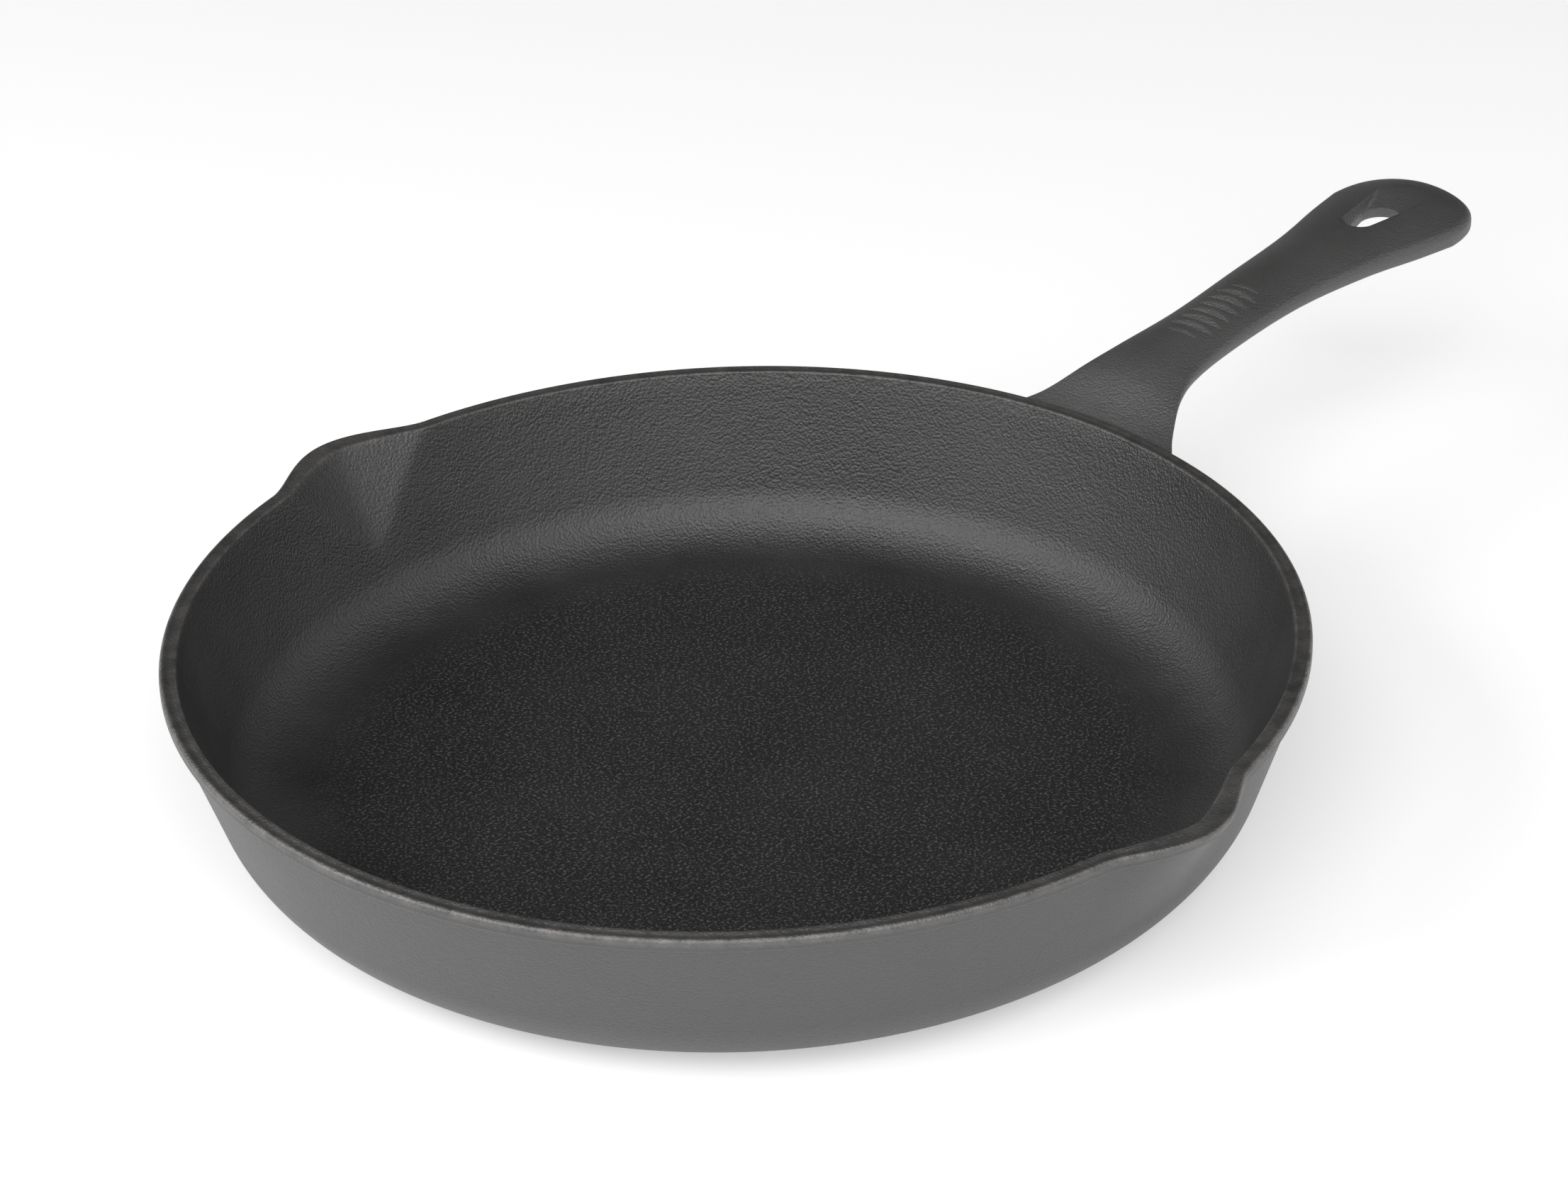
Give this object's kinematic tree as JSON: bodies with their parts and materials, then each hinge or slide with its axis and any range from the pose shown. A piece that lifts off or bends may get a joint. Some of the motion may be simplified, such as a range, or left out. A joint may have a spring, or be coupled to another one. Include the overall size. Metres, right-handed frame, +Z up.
{
  "type": "skillet",
  "caption": "Cast iron skillet with a flared wall, side pouring spouts, a thickened rim and a grooved handle with a teardrop hanging eye.",
  "frame": {"origin": "centre of the flat underside, on the surface that the pan stands on", "axes": "+X from the pan's centre out along the handle, +Z up out of the cooking surface, +Y towards the left pouring spout"},
  "size_m": [0.4275, 0.296, 0.0631],
  "materials": {
    "pan_iron": "as-cast pebbled, seasoned black",
    "rim_iron": "smoother as-cast, worn along the edge",
    "handle_iron": "fine as-cast, semi-matt"
  },
  "bodies": {
    "root": {"cooking_floor": "pan_iron", "handle_side_wall": "pan_iron", "far_side_wall": "pan_iron", "handle_side_rim": "rim_iron", "far_side_rim": "rim_iron", "left_spout": "pan_iron", "right_spout": "pan_iron", "handle_root": "handle_iron", "handle_grip": "handle_iron", "handle_eye": "handle_iron"}
  },
  "joints": []
}
